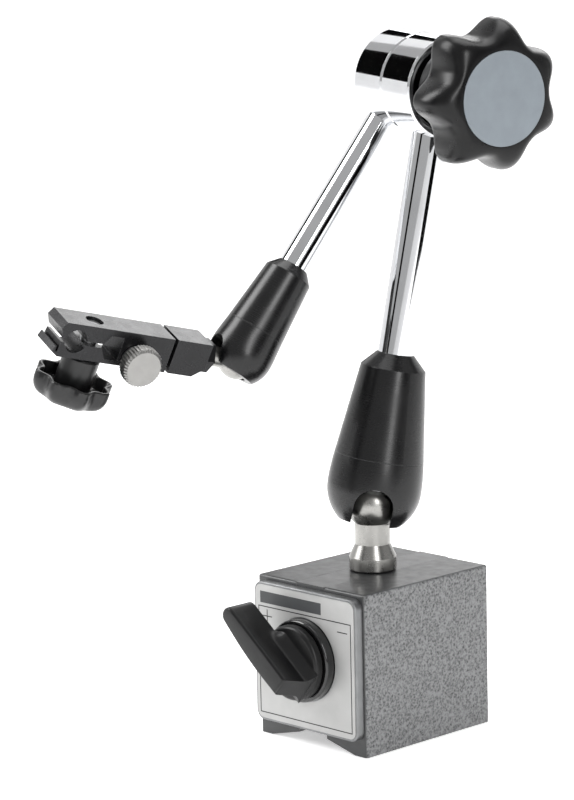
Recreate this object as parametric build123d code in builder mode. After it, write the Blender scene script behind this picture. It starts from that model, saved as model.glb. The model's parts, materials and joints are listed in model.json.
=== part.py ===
"""Indicator stand: a switchable magnetic base, two arms on ball joints that one elbow knob locks, and an
indicator holder with a fine adjustment.

+Z is up and the origin is the middle of the base's sole. The lever is on the front, which faces -Y.
All sizes are in millimetres and all angles in degrees.
"""

import os
from dataclasses import dataclass
from math import cos, radians, sin, tan

from build123d import *

# ---------------------------------------------------------------- driving sizes: magnetic base
base_width = 50.0
base_length = 60.0
base_height = 55.0
base_edge = 0.9  # rounding of the body's upright and top edges
foot_width = 5.4  # flat of each foot beside the V-groove
v_rise = 3.2  # how far the V-groove rises before it meets the channel
spacer_width = 13.0  # brass between the two poles, and so the channel's width
channel_depth = 8.0
rotor_bore_radius = 15.0
rotor_height = 30.0  # height of the rotor's and the lever's axis
rotor_clearance = 0.25
rear_cap_radius = 17.0
rear_cap_thickness = 4.0
rear_cap_edge = 0.5

plate_width = 48.0
plate_bottom = 5.5
plate_top = 53.5
plate_thickness = 3.0
plate_corner = 3.5
plate_edge = 0.5  # rounding of its front edge
label_margin = 0.9
label_thickness = 0.2
screw_inset = 4.5  # plate screws, from the plate's edges
screw_radius = 1.5

# ---------------------------------------------------------------- driving sizes: lever
lever_angle = 40.0  # of the blade above the horizontal, towards the plus mark
lever_throw = 90.0
ring_radius = 14.0
ring_height = 3.8
ring_edge = 0.8
lever_gap = 0.3  # between the fixed ring and the turning lever
lever_disc_radius = 12.7
lever_disc_height = 3.0
lever_disc_edge = 0.5
lever_step_radius = 12.2
lever_step_height = 0.4
blade_length = 26.5  # from the axis to the tip
blade_heel = 7.7  # from the axis, the other way
blade_slope = 3.6  # how far the heel slopes out as it comes down to the disc
blade_height = 10.5
blade_width = 7.5
blade_tip_width = 6.4
blade_edge = 0.9
shaft_radius = 3.2

# ---------------------------------------------------------------- driving sizes: arms
stud_collar_radius = 8.0
stud_collar_height = 4.6
stud_flare_height = 4.4
stud_neck_radius = 6.0
lower_ball_height = 23.0  # ball centre above the base's top
lower_lean = 10.3  # of the lower arm, from upright
lower_lean_heading = 60.4  # from +X towards +Y
knob_heading = -14.7  # of the elbow's axis, from +X
lower_arm_length = 141.5  # ball centre to elbow axis
upper_arm_length = 111.0
elbow_fold = 26.0  # between the two arms
elbow_radius = 17.1
elbow_half_width = 17.0
elbow_edge = 0.6
upper_tube_offset = 3.2  # of the upper tube, outwards from the middle of its elbow half
tube_socket = 8.0  # how deep each tube sits in its elbow half
seam_gap = 0.3
tilt_limit = 22.0  # of either ball joint, all round
tilt_spare = 1.5  # room in the cap's mouth past that limit

# ---------------------------------------------------------------- driving sizes: elbow clamp
bolt_radius = 5.0
bolt_head_radius = 9.0
bolt_head_height = 3.5
waist_radius = 2.0  # bottom of each tapered groove in the bolt
waist_offset = 1.5  # of each groove from its rod, towards the knob
bolt_end = 28.0
clamp_travel = 0.75  # of the bolt, from clamped to free
washer_radius = 9.0
washer_thickness = 1.6
knob_lobes = 7
knob_radius = 25.4
knob_waist = 20.3
knob_back = 22.0  # back of the lobes, along the elbow's axis
knob_front = 39.6
knob_back_edge = 1.5
knob_back_slope = 2.0
knob_round = 5.5  # height of the rounded back of the lobes
knob_flank = 2.0  # straight part of their flank
knob_hub_radius = 14.5
insert_radius = 8.0
insert_end = 31.0
knob_disc_radius = 15.5
knob_disc_thickness = 0.7

# ---------------------------------------------------------------- driving sizes: indicator holder
holder_stud_angle = 67.7  # of the holder's stud from the upper arm's axis
holder_stud_lean = 1.3  # of the same stud, towards the knob
holder_roll = -15.6  # of the holder about its stud
block_size = 12.0
nut_across_flats = 10.0
nut_start = 11.6  # all along the holder's axis, from the ball's centre
nut_thickness = 2.8
rear_block_start = 14.5
gap_start = 27.8
front_block_start = 29.1
relief_start = 47.6
jaw_start = 52.3
bore_centre = 64.4
block_tip = 69.5
lip_tip = 71.1  # top of the lower jaw's outer lip
stem_bore_radius = 4.0
jaw_top = -0.9
slit_top = 0.6
lip_slope = 2.1
clamp_screw_place = 57.0
clamp_screw_radius = 3.0
screw_chamfer = 0.6
clamp_hub_radius = 6.2
clamp_knob_radius = 13.5
clamp_knob_waist = 11.4
clamp_knob_lobes = 8
clamp_knob_wall = 1.3
clamp_gap = 0.7  # between the block and the small knob's hub
clamp_neck = 7.7  # of that hub above the knob's rim
clamp_knob_height = 8.0
clamp_rim_height = 2.5  # straight part of its flank
clamp_knob_flat = 8.6  # radius of its flat bottom
clamp_recess = 1.0  # of the clamp screw's end, below the block's top
adjust_place = 42.0
adjust_height = -2.6  # of the thumbscrew, above the holder's axis
adjust_head_radius = 6.9
adjust_collar_length = 3.5
adjust_edge = 0.4
adjust_chamfer = 1.0
adjust_head_length = 4.8
adjust_screw_radius = 2.0
adjust_collar_radius = 4.5
pivot_place = 32.6
pivot_radius = 1.5
tongue_width = 4.6
tongue_height = 9.0
tongue_end = 45.6
fine_limit = 2.5  # of the fine adjustment, either way

seat_angle = 12.0  # how far each cap's seat reaches below the ball's equator
cup_lip = 0.6  # of the ball's radius, where each pressure cup starts above its centre
cup_spare = 0.5  # of a pressure cup's radius over its ball's
cup_roof = 9.0  # from the top of the ball to the top of the cup
cup_lift = 2.0  # room above the cup
cap_wall = 3.0
notch_spare = 0.6
spigot_length = 5.0
sleeve_grip = 10.0  # how deep each tube sits in its sleeve, below the shoulder
rod_play = 0.4
thread_radius = 4.0
thread_depth = 8.5
holder_thread_radius = 2.6
stud_cover = 3.5  # of the rear block past the stud's end
plate_bore_radius = 8.0
shaft_seat = 12.0
pin_radius = 1.25
pin_depth = 1.8  # of the lever's pin below the disc's top
rear_bevel = 3.2  # of the lower rear edge, on the end face
rear_bevel_length = 4.3  # along the block
relief_height = 3.8
flexure = 1.5  # strip left below the relief pocket
slot_mouth = 1.9
lip_lean = 1.4
lip_height = 2.3
lip_top = 2.4  # of the lower jaw's outer lip, below the holder's axis
lip_foot = 1.5
lip_bulge = 0.8
fin_thickness = 0.5
fin_slot = 0.7
fin_floor = 4.4  # of the slot behind the lip, below the holder's axis
mouth_flare = 0.6
pivot_cover = 1.6
clamp_floor = 2.0
cavity_depth = 5.0

# ---------------------------------------------------------------- clearances
seat_gap = 0.1  # under the ball stud's collar
star_spare = 0.4  # of a knob's turned outline past its lobes' tips
running = 0.05  # radial, of a shaft that turns or slides in its hole
loose = 0.3  # between faces of different bodies


@dataclass(frozen=True)
class BallJoint:
    """One arm's ball joint and the tapered sleeve over it; heights run up the arm from the ball's centre."""

    name: str
    frame: Plane
    ball: float  # ball radius
    neck: float  # radius of the stud's neck
    notch_heading: float  # of the cap's notch about the arm, from the elbow's axis
    mouth: float  # depth of the cap's mouth below the ball's centre
    widest: float  # greatest radius of the cap
    widest_height: float
    seam: float
    seam_radius: float
    shoulder: float
    shoulder_radius: float
    top: float
    tube: float  # outer radius
    tube_bore: float
    tube_end: float  # upper end of the tube
    arm_length: float


def part_of(heading):
    """Horizontal unit vector on a heading from +X."""
    return Vector(cos(radians(heading)), sin(radians(heading)), 0)


def side_of(frame):
    """The plane through a frame's Z axis: local X is the radius and local Y the height."""
    return Plane(origin=frame.origin, x_dir=frame.x_dir, z_dir=frame.x_dir.cross(frame.z_dir))


def axis_of(frame):
    """A frame's Z axis."""
    return Axis(frame.origin, frame.z_dir)


def add_star(lobes, radius, waist, mode=Mode.ADD):
    """Adds a star with round lobes and hollow flanks to the sketch that is being drawn."""
    step = 360.0 / lobes
    half_tip = step * 0.15
    shoulder = radius - (radius - waist) * 0.12
    rim = []
    for number in range(lobes):
        heading = number * step
        start = Vector(shoulder, 0, 0).rotate(Axis.Z, heading - half_tip)
        tip = Vector(radius, 0, 0).rotate(Axis.Z, heading)
        end = Vector(shoulder, 0, 0).rotate(Axis.Z, heading + half_tip)
        hollow = Vector(waist, 0, 0).rotate(Axis.Z, heading + step / 2)
        following = Vector(shoulder, 0, 0).rotate(Axis.Z, heading + step - half_tip)
        rim.append(Edge.make_three_point_arc(start, tip, end))
        rim.append(Edge.make_three_point_arc(end, hollow, following))
    return make_face(rim, mode=mode)


def rod_radius(joint):
    """The radius of the push rod inside an arm's tube."""
    return joint.tube_bore - rod_play


def cup_radius(joint):
    """The radius of the cup that presses on an arm's ball."""
    return joint.ball + cup_spare


def along(distance):
    """A point on the holder's axis, at a distance from the ball's centre."""
    return holder.origin + holder.z_dir * distance


def finish(piece, name):
    """Labels a finished piece and writes it as one STEP file."""
    piece.part.label = name
    export_step(piece.part, f"parts/{name}.step")


os.makedirs("parts", exist_ok=True)

# ---------------------------------------------------------------- frames, from the sole up to the holder
half_width = base_width / 2
half_length = base_length / 2
half_block = block_size / 2
ball_lower = Vector(0, 0, base_height + lower_ball_height)
arm_dir = Vector(
    sin(radians(lower_lean)) * part_of(lower_lean_heading).X,
    sin(radians(lower_lean)) * part_of(lower_lean_heading).Y,
    cos(radians(lower_lean)),
)
knob_flat = part_of(knob_heading)
knob_dir = (knob_flat - Vector(0, 0, arm_dir.dot(knob_flat) / arm_dir.Z)).normalized()
elbow_centre = ball_lower + arm_dir * lower_arm_length
elbow = Plane(origin=elbow_centre, x_dir=arm_dir, z_dir=knob_dir)
lower_arm = Plane(origin=ball_lower, x_dir=knob_dir, z_dir=arm_dir)

fold_side = knob_dir.cross(arm_dir)
upper_down = fold_side * sin(radians(elbow_fold)) - arm_dir * cos(radians(elbow_fold))
upper_tube_place = elbow_half_width + upper_tube_offset
ball_upper = elbow_centre - knob_dir * upper_tube_place + upper_down * upper_arm_length
upper_arm = Plane(origin=ball_upper, x_dir=knob_dir, z_dir=upper_down * -1)

stud_side = upper_down.cross(knob_dir)
stud_level = upper_down * cos(radians(holder_stud_angle)) + stud_side * sin(radians(holder_stud_angle))
stud_dir = stud_level * cos(radians(holder_stud_lean)) + knob_dir * sin(radians(holder_stud_lean))
level_side = knob_dir * cos(radians(holder_stud_lean)) - stud_level * sin(radians(holder_stud_lean))
roll_side = stud_dir.cross(level_side)
holder_side = level_side * cos(radians(holder_roll)) + roll_side * sin(radians(holder_roll))
holder = Plane(origin=ball_upper, x_dir=holder_side, z_dir=stud_dir)
holder_profile = Plane(origin=ball_upper, x_dir=stud_dir, z_dir=holder_side * -1)

lower_joint = BallJoint(
    name="lower",
    frame=lower_arm,
    ball=9.0,
    neck=stud_neck_radius,
    notch_heading=-29.4,
    mouth=6.5,
    widest=16.0,
    widest_height=5.5,
    seam=15.8,
    seam_radius=15.2,
    shoulder=46.4,
    shoulder_radius=11.0,
    top=51.3,
    tube=6.0,
    tube_bore=3.4,
    tube_end=lower_arm_length - elbow_radius + tube_socket,
    arm_length=lower_arm_length,
)
upper_joint = BallJoint(
    name="upper",
    frame=upper_arm,
    ball=6.5,
    neck=3.4,
    notch_heading=-90.0,
    mouth=4.6,
    widest=11.0,
    widest_height=2.6,
    seam=11.6,
    seam_radius=10.2,
    shoulder=33.3,
    shoulder_radius=8.3,
    top=36.8,
    tube=5.0,
    tube_bore=2.7,
    tube_end=upper_arm_length - elbow_radius + tube_socket,
    arm_length=upper_arm_length,
)

lever = Plane(
    origin=(0, -half_length - plate_thickness, rotor_height),
    x_dir=(-cos(radians(lever_angle)), 0, sin(radians(lever_angle))),
    z_dir=(0, -1, 0),
)
lever_foot = ring_height + lever_gap
disc_top = lever_foot + lever_step_height + lever_disc_height
pin_plane = Plane(
    origin=lever.origin + lever.z_dir * (disc_top - pin_depth),
    x_dir=(0, 1, 0),
    z_dir=lever.y_dir,
)
pivot_plane = Plane(origin=along(pivot_place), x_dir=holder.z_dir, z_dir=holder.y_dir)
screw_plane = Plane(
    origin=along(adjust_place) + holder.y_dir * adjust_height, x_dir=holder.z_dir, z_dir=holder.x_dir
)
clamp_plane = Plane(origin=along(clamp_screw_place), x_dir=holder.z_dir, z_dir=holder.y_dir)
clamp_hub_top = -half_block - clamp_gap
clamp_rim_top = clamp_hub_top - clamp_neck
clamp_knob_bottom = clamp_rim_top - clamp_knob_height
adjust_head_start = half_block + loose + adjust_collar_length

# ---------------------------------------------------------------- magnetic base
half_spacer = spacer_width / 2
rotor_front = Plane(origin=(0, -half_length, rotor_height), x_dir=(1, 0, 0), z_dir=(0, -1, 0))
for side, name in ((-1, "pole_left"), (1, "pole_right")):
    with BuildPart() as pole:
        with BuildSketch(Plane.XZ.offset(-half_length)):
            with BuildLine():
                Polyline(
                    (side * half_spacer, base_height),
                    (side * half_width, base_height),
                    (side * half_width, 0),
                    (side * (half_width - foot_width), 0),
                    (side * half_spacer, v_rise),
                    close=True,
                )
            make_face()
        extrude(amount=base_length)
        corners = pole.edges().filter_by(Axis.Z).filter_by(lambda e: abs(e.center().X) > half_width - 0.1)
        top_edges = pole.faces().sort_by(Axis.Z)[-1].edges()
        rim = top_edges.filter_by(lambda e: abs(e.center().X) > half_spacer + 0.1)
        fillet(corners + rim, base_edge)
        with BuildSketch(rotor_front):
            Circle(rotor_bore_radius)
        extrude(amount=-base_length, mode=Mode.SUBTRACT)
        with BuildSketch(rotor_front.offset(-base_length)):
            Circle(rear_cap_radius)
        extrude(amount=rear_cap_thickness, mode=Mode.SUBTRACT)
    finish(pole, name)

for name, foot, height in (
    ("spacer_bottom", channel_depth, rotor_height - channel_depth),
    ("spacer_top", rotor_height, base_height - rotor_height),
):
    with BuildPart() as spacer:
        with BuildSketch(Plane.XY.offset(foot)):
            Rectangle(spacer_width, base_length)
        extrude(amount=height)
        with BuildSketch(rotor_front):
            Circle(rotor_bore_radius)
        extrude(amount=-base_length, mode=Mode.SUBTRACT)
        with BuildSketch(rotor_front.offset(-base_length)):
            Circle(rear_cap_radius)
        extrude(amount=rear_cap_thickness, mode=Mode.SUBTRACT)
        with BuildSketch(Plane.XY.offset(base_height)):
            Circle(thread_radius + running)
        extrude(amount=-(base_height - rotor_height), mode=Mode.SUBTRACT)
    finish(spacer, name)

with BuildPart() as rear_plate:
    with BuildSketch(rotor_front.offset(-base_length)):
        Circle(rear_cap_radius)
    extrude(amount=rear_cap_thickness)
    chamfer(rear_plate.faces().sort_by(Axis.Y)[-1].edges(), rear_cap_edge)
finish(rear_plate, "rear_plate")

plate_middle = (plate_bottom + plate_top) / 2
plate_height = plate_top - plate_bottom
plate_face = Plane(origin=(0, -half_length - plate_thickness, plate_middle), x_dir=(1, 0, 0), z_dir=(0, -1, 0))
screw_x = plate_width / 2 - screw_inset
screw_z = plate_height / 2 - screw_inset
with BuildPart() as front_plate:
    with BuildSketch(plate_face.offset(-plate_thickness)):
        RectangleRounded(plate_width, plate_height, plate_corner)
        with Locations((0, rotor_height - plate_middle)):
            Circle(plate_bore_radius, mode=Mode.SUBTRACT)
    extrude(amount=plate_thickness)
    fillet(front_plate.faces().sort_by(Axis.Y)[0].outer_wire().edges(), plate_edge)
    with BuildSketch(plate_face):
        with GridLocations(2 * screw_x, 2 * screw_z, 2, 2):
            Circle(screw_radius)
    extrude(amount=-plate_thickness, mode=Mode.SUBTRACT)
    with BuildSketch(plate_face):
        with GridLocations(2 * screw_x, 2 * screw_z, 2, 2):
            Circle(2 * screw_radius)
    extrude(amount=-screw_radius, taper=45, mode=Mode.SUBTRACT)
finish(front_plate, "front_plate")

screw_number = 0
for column in (-1, 1):
    for row in (-1, 1):
        screw_number += 1
        spot = plate_face.origin + Vector(column * screw_x, 0, row * screw_z)
        with BuildPart() as plate_screw:
            with BuildSketch(Plane(origin=spot, x_dir=(1, 0, 0), z_dir=(0, -1, 0))):
                Circle(2 * screw_radius)
            extrude(amount=-screw_radius, taper=45)
            with BuildSketch(Plane(origin=spot, x_dir=(1, 0, 0), z_dir=(0, -1, 0)).offset(-screw_radius)):
                Circle(screw_radius)
            extrude(amount=-(plate_thickness - screw_radius))
        finish(plate_screw, f"plate_screw_{screw_number}")

with BuildPart() as front_label:
    with BuildSketch(plate_face):
        RectangleRounded(
            plate_width - 2 * label_margin, plate_height - 2 * label_margin, plate_corner - label_margin
        )
        with Locations((0, rotor_height - plate_middle)):
            Circle(ring_radius + loose, mode=Mode.SUBTRACT)
    extrude(amount=label_thickness)
finish(front_label, "front_label")

ring_face = Plane(origin=(0, -half_length - plate_thickness, rotor_height), x_dir=(1, 0, 0), z_dir=(0, -1, 0))
with BuildPart() as lever_ring:
    with BuildSketch(ring_face):
        Circle(ring_radius)
        Circle(shaft_radius + loose, mode=Mode.SUBTRACT)
    extrude(amount=ring_height)
    fillet(lever_ring.faces().sort_by(Axis.Y)[0].outer_wire().edges(), ring_edge)
finish(lever_ring, "lever_ring")

# ---------------------------------------------------------------- the turning magnet and its lever
with BuildPart() as magnet_rotor:
    with BuildSketch(rotor_front.offset(-loose)):
        Circle(rotor_bore_radius - rotor_clearance)
    extrude(amount=-(base_length - rear_cap_thickness - 2 * loose))
    with BuildSketch(rotor_front.offset(-loose)):
        Circle(shaft_radius)
    extrude(amount=-shaft_seat, mode=Mode.SUBTRACT)
finish(magnet_rotor, "magnet_rotor")

with BuildPart() as rotor_shaft:
    with BuildSketch(rotor_front.offset(-loose - shaft_seat)):
        Circle(shaft_radius)
    extrude(amount=shaft_seat + loose + plate_thickness + disc_top)
    with BuildSketch(pin_plane):
        Circle(pin_radius)
    extrude(amount=shaft_radius + 1, both=True, mode=Mode.SUBTRACT)
finish(rotor_shaft, "rotor_shaft")

with BuildPart() as knob_pin:
    with BuildSketch(pin_plane):
        Circle(pin_radius)
    extrude(amount=lever_disc_radius - 1, both=True)
finish(knob_pin, "knob_pin")

with BuildPart() as lever_knob:
    with BuildSketch(lever.offset(lever_foot)):
        Circle(lever_step_radius)
    extrude(amount=lever_step_height)
    with BuildSketch(lever.offset(lever_foot + lever_step_height)):
        Circle(lever_disc_radius)
    extrude(amount=lever_disc_height)
    fillet(lever_knob.faces().sort_by(axis_of(lever))[-1].edges(), lever_disc_edge)
    blade_side = blade_width / 2
    tip_side = blade_tip_width / 2
    with BuildSketch(lever.offset(disc_top)):
        with BuildLine():
            Polyline(
                (blade_length - tip_side, -tip_side),
                (-blade_heel - blade_slope, -blade_side),
                (-blade_heel - blade_slope, blade_side),
                (blade_length - tip_side, tip_side),
            )
            ThreePointArc(
                (blade_length - tip_side, tip_side), (blade_length, 0), (blade_length - tip_side, -tip_side)
            )
        make_face()
    extrude(amount=blade_height)
    with BuildSketch(Plane(origin=lever.origin, x_dir=lever.x_dir, z_dir=lever.y_dir * -1)):
        with BuildLine():
            Polyline(
                (-blade_heel, disc_top + blade_height + 1),
                (-blade_heel, disc_top + blade_height),
                (-blade_heel - blade_slope, disc_top + 0.5),
                (-blade_heel - blade_slope - 5, disc_top + 0.5),
                (-blade_heel - blade_slope - 5, disc_top + blade_height + 1),
                close=True,
            )
        make_face()
    extrude(amount=blade_width, both=True, mode=Mode.SUBTRACT)
    fillet(lever_knob.faces().sort_by(axis_of(lever))[-1].edges(), blade_edge)
    with BuildSketch(lever.offset(lever_foot)):
        Circle(shaft_radius)
    extrude(amount=disc_top - lever_foot, mode=Mode.SUBTRACT)
    with BuildSketch(pin_plane):
        Circle(pin_radius)
    extrude(amount=lever_disc_radius - 1, both=True, mode=Mode.SUBTRACT)
finish(lever_knob, "lever_knob")

# ---------------------------------------------------------------- ball studs
stud_foot = base_height + seat_gap
flare_start = stud_foot + stud_collar_height
with BuildPart() as lower_ball_stud:
    with BuildSketch(Plane.XZ):
        with BuildLine():
            Polyline(
                (0, stud_foot - thread_depth),
                (thread_radius, stud_foot - thread_depth),
                (thread_radius, stud_foot),
                (stud_collar_radius - 0.5, stud_foot),
                (stud_collar_radius, stud_foot + 0.5),
                (stud_collar_radius, flare_start),
                (stud_neck_radius, flare_start + stud_flare_height),
                (stud_neck_radius, ball_lower.Z),
                (0, ball_lower.Z),
                close=True,
            )
        make_face()
    revolve(axis=Axis.Z)
    with Locations(ball_lower):
        Sphere(lower_joint.ball)
finish(lower_ball_stud, "lower_ball_stud")

stud_end = gap_start - stud_cover
with BuildPart() as upper_ball_stud:
    with BuildSketch(side_of(holder)):
        Rectangle(upper_joint.neck, nut_start, align=(Align.MIN, Align.MIN))
        Rectangle(holder_thread_radius, stud_end, align=(Align.MIN, Align.MIN))
    revolve(axis=axis_of(holder))
    with Locations(ball_upper):
        Sphere(upper_joint.ball)
finish(upper_ball_stud, "upper_ball_stud")

# ---------------------------------------------------------------- ball caps, pressure cups, sleeves, tubes and rods
for joint in (lower_joint, upper_joint):
    axis = axis_of(joint.frame)
    seat = joint.ball + running
    lip = seat * sin(radians(seat_angle))
    room = cup_radius(joint) + running
    rod = rod_radius(joint)
    cup_foot = joint.ball * cup_lip
    cup_top = joint.ball + cup_roof
    spigot_foot = joint.seam - spigot_length
    spigot = joint.seam_radius - cap_wall
    mouth_radius = (joint.widest**2 - (joint.mouth + joint.widest_height) ** 2) ** 0.5
    tilt_room = radians(tilt_limit + tilt_spare)
    mouth_bore = (joint.neck + joint.mouth * sin(tilt_room)) / cos(tilt_room)
    mid_angle = radians(-25)  # of a point on the rounded foot of the cap
    with BuildPart() as ball_cap:
        with BuildSketch(side_of(joint.frame)):
            with BuildLine():
                ThreePointArc(
                    (mouth_radius, -joint.mouth),
                    (joint.widest * cos(mid_angle), joint.widest_height + joint.widest * sin(mid_angle)),
                    (joint.widest, joint.widest_height),
                )
                Spline(
                    (joint.widest, joint.widest_height),
                    (joint.seam_radius, joint.seam),
                    tangents=((0, 1), (joint.shoulder_radius - joint.seam_radius, joint.shoulder - joint.seam)),
                )
                Polyline(
                    (joint.seam_radius, joint.seam),
                    (spigot, joint.seam),
                    (spigot, spigot_foot),
                    (room, spigot_foot),
                    (room, 0),
                    (seat, 0),
                )
                ThreePointArc(
                    (seat, 0),
                    (seat * cos(radians(seat_angle / 2)), -seat * sin(radians(seat_angle / 2))),
                    (seat * cos(radians(seat_angle)), -lip),
                )
                Polyline(
                    (seat * cos(radians(seat_angle)), -lip),
                    (mouth_bore, -joint.mouth),
                    (mouth_radius, -joint.mouth),
                )
            make_face()
        revolve(axis=axis)
        notch_dir = Vector(joint.frame.x_dir).rotate(Axis((0, 0, 0), joint.frame.z_dir), joint.notch_heading)
        with BuildSketch(Plane(origin=joint.frame.origin, x_dir=joint.frame.z_dir, z_dir=notch_dir)):
            Circle(joint.neck + notch_spare)
            with Locations((-joint.widest, 0)):
                Rectangle(2 * joint.widest, 2 * (joint.neck + notch_spare))
        extrude(amount=2 * joint.widest, mode=Mode.SUBTRACT)
    finish(ball_cap, f"{joint.name}_ball_cap")

    with BuildPart() as pressure_cup:
        with BuildSketch(joint.frame.offset(cup_foot)):
            Circle(cup_radius(joint))
        extrude(amount=cup_top - cup_foot)
        with Locations(joint.frame.origin):
            Sphere(seat, mode=Mode.SUBTRACT)
    finish(pressure_cup, f"{joint.name}_pressure_cup")

    socket_foot = joint.shoulder - sleeve_grip
    with BuildPart() as sleeve:
        with BuildSketch(side_of(joint.frame)):
            with BuildLine():
                Polyline(
                    (room, spigot_foot),
                    (spigot, spigot_foot),
                    (spigot, joint.seam),
                    (joint.seam_radius, joint.seam),
                    (joint.shoulder_radius, joint.shoulder),
                    (joint.tube + loose, joint.top),
                    (joint.tube, joint.top),
                    (joint.tube, socket_foot),
                    (rod + rod_play, socket_foot),
                    (rod + rod_play, cup_top + cup_lift),
                    (room, cup_top + cup_lift),
                    close=True,
                )
            make_face()
        revolve(axis=axis)
    finish(sleeve, f"{joint.name}_sleeve")

    with BuildPart() as tube:
        with BuildSketch(joint.frame.offset(socket_foot)):
            Circle(joint.tube)
            Circle(joint.tube_bore, mode=Mode.SUBTRACT)
        extrude(amount=joint.tube_end - socket_foot)
    finish(tube, f"{joint.name}_tube")

    rod_foot = cup_top + running
    apex = joint.arm_length - waist_radius - waist_offset - running
    with BuildPart() as push_rod:
        with BuildSketch(side_of(joint.frame)):
            with BuildLine():
                Polyline((0, rod_foot), (rod, rod_foot), (rod, apex - rod), (0, apex), close=True)
            make_face()
        revolve(axis=axis)
    finish(push_rod, f"{joint.name}_push_rod")

# ---------------------------------------------------------------- elbow and its clamp
half_start = elbow_half_width / 2
for joint, start, tube_place in (
    (lower_joint, -half_start, 0),
    (upper_joint, -half_start - seam_gap - elbow_half_width, -upper_tube_place),
):
    with BuildPart() as elbow_half:
        with BuildSketch(elbow.offset(start)):
            Circle(elbow_radius)
        extrude(amount=elbow_half_width)
        chamfer(elbow_half.edges().filter_by(GeomType.CIRCLE), elbow_edge)
        with BuildSketch(elbow.offset(start)):
            Circle(bolt_radius + running)
        extrude(amount=elbow_half_width, mode=Mode.SUBTRACT)
        with BuildSketch(joint.frame.offset(joint.tube_end)):
            Circle(joint.tube)
        extrude(amount=-elbow_radius, mode=Mode.SUBTRACT)
        with BuildSketch(joint.frame.offset(joint.tube_end - 1)):
            Circle(rod_radius(joint) + running)
        extrude(amount=elbow_radius - tube_socket, mode=Mode.SUBTRACT)
    finish(elbow_half, f"elbow_half_{joint.name}")

with BuildPart() as thrust_washer:
    with BuildSketch(elbow.offset(half_start)):
        Circle(washer_radius)
        Circle(bolt_radius + running, mode=Mode.SUBTRACT)
    extrude(amount=washer_thickness)
finish(thrust_washer, "thrust_washer")

far_face = -half_start - seam_gap - elbow_half_width
waist_reach = bolt_radius - waist_radius
head_start = far_face - running
with BuildPart() as clamp_bolt:
    with BuildSketch(side_of(elbow)):
        with BuildLine():
            upper_waist = waist_offset - upper_tube_place
            Polyline(
                (0, head_start - bolt_head_height),
                (bolt_head_radius - 1, head_start - bolt_head_height),
                (bolt_head_radius, head_start - bolt_head_height + 1),
                (bolt_head_radius, head_start),
                (bolt_radius, head_start),
                (bolt_radius, upper_waist - waist_reach),
                (waist_radius, upper_waist),
                (bolt_radius, upper_waist + waist_reach),
                (bolt_radius, waist_offset - waist_reach),
                (waist_radius, waist_offset),
                (bolt_radius, waist_offset + waist_reach),
                (bolt_radius, bolt_end - 1),
                (bolt_radius - 1, bolt_end),
                (0, bolt_end),
                close=True,
            )
        make_face()
    revolve(axis=axis_of(elbow))
finish(clamp_bolt, "clamp_bolt")

knob_foot = half_start + washer_thickness + loose
with BuildPart() as star_knob:
    with BuildSketch(elbow.offset(knob_back)):
        add_star(knob_lobes, knob_radius, knob_waist)
    extrude(amount=knob_front - knob_back)
    with BuildSketch(side_of(elbow)):
        with BuildLine():
            Polyline(
                (0, knob_front),
                (0, knob_back),
                (knob_hub_radius, knob_back),
                (knob_radius - knob_back_edge, knob_back + knob_back_slope),
                (knob_radius + star_spare, knob_back + knob_round),
                (knob_radius + star_spare, knob_back + knob_round + knob_flank),
            )
            Spline(
                (knob_radius + star_spare, knob_back + knob_round + knob_flank),
                (knob_disc_radius + star_spare, knob_front),
                tangents=((0, 1), (-1, 0.25)),
            )
            Line((knob_disc_radius + star_spare, knob_front), (0, knob_front))
        make_face()
    revolve(axis=axis_of(elbow), mode=Mode.INTERSECT)
    with BuildSketch(elbow.offset(knob_foot)):
        Circle(knob_hub_radius)
    extrude(amount=knob_back + 1 - knob_foot)
    with BuildSketch(elbow.offset(knob_foot)):
        Circle(insert_radius)
    extrude(amount=insert_end - knob_foot, mode=Mode.SUBTRACT)
    with BuildSketch(elbow.offset(knob_front)):
        Circle(knob_disc_radius)
    extrude(amount=-knob_disc_thickness / 2, mode=Mode.SUBTRACT)
finish(star_knob, "star_knob")

with BuildPart() as knob_insert:
    with BuildSketch(elbow.offset(knob_foot)):
        Circle(insert_radius)
    extrude(amount=insert_end - knob_foot)
    with BuildSketch(elbow.offset(knob_foot)):
        Circle(bolt_radius + running)
    extrude(amount=bolt_end + 1 - knob_foot, mode=Mode.SUBTRACT)
finish(knob_insert, "knob_insert")

with BuildPart() as knob_disc:
    with BuildSketch(elbow.offset(knob_front - knob_disc_thickness / 2)):
        Circle(knob_disc_radius)
    extrude(amount=knob_disc_thickness)
finish(knob_disc, "knob_disc")

# ---------------------------------------------------------------- holder: lock nut, rear block and front block
with BuildPart() as lock_nut:
    with BuildSketch(holder.offset(nut_start)):
        RegularPolygon(nut_across_flats / 2, 6, major_radius=False)
        Circle(holder_thread_radius, mode=Mode.SUBTRACT)
    extrude(amount=nut_thickness)
finish(lock_nut, "lock_nut")

with BuildPart() as rear_block:
    with BuildSketch(holder.offset(rear_block_start)):
        Rectangle(block_size, block_size)
    extrude(amount=gap_start - rear_block_start)
    rear_face = rear_block.faces().sort_by(axis_of(holder))[0]
    lower_edge = rear_face.edges().sort_by(Axis(holder.origin, holder.y_dir))[0]
    chamfer(lower_edge, rear_bevel, rear_bevel_length, reference=rear_face)
    with BuildSketch(holder.offset(gap_start - 1)):
        Rectangle(tongue_width, tongue_height)
    extrude(amount=tongue_end - gap_start + 1)
    with BuildSketch(holder.offset(rear_block_start)):
        Circle(holder_thread_radius + running)
    extrude(amount=stud_end + loose - rear_block_start, mode=Mode.SUBTRACT)
    with BuildSketch(pivot_plane):
        Circle(pivot_radius + running)
    extrude(amount=block_size, both=True, mode=Mode.SUBTRACT)
finish(rear_block, "rear_block")

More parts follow.
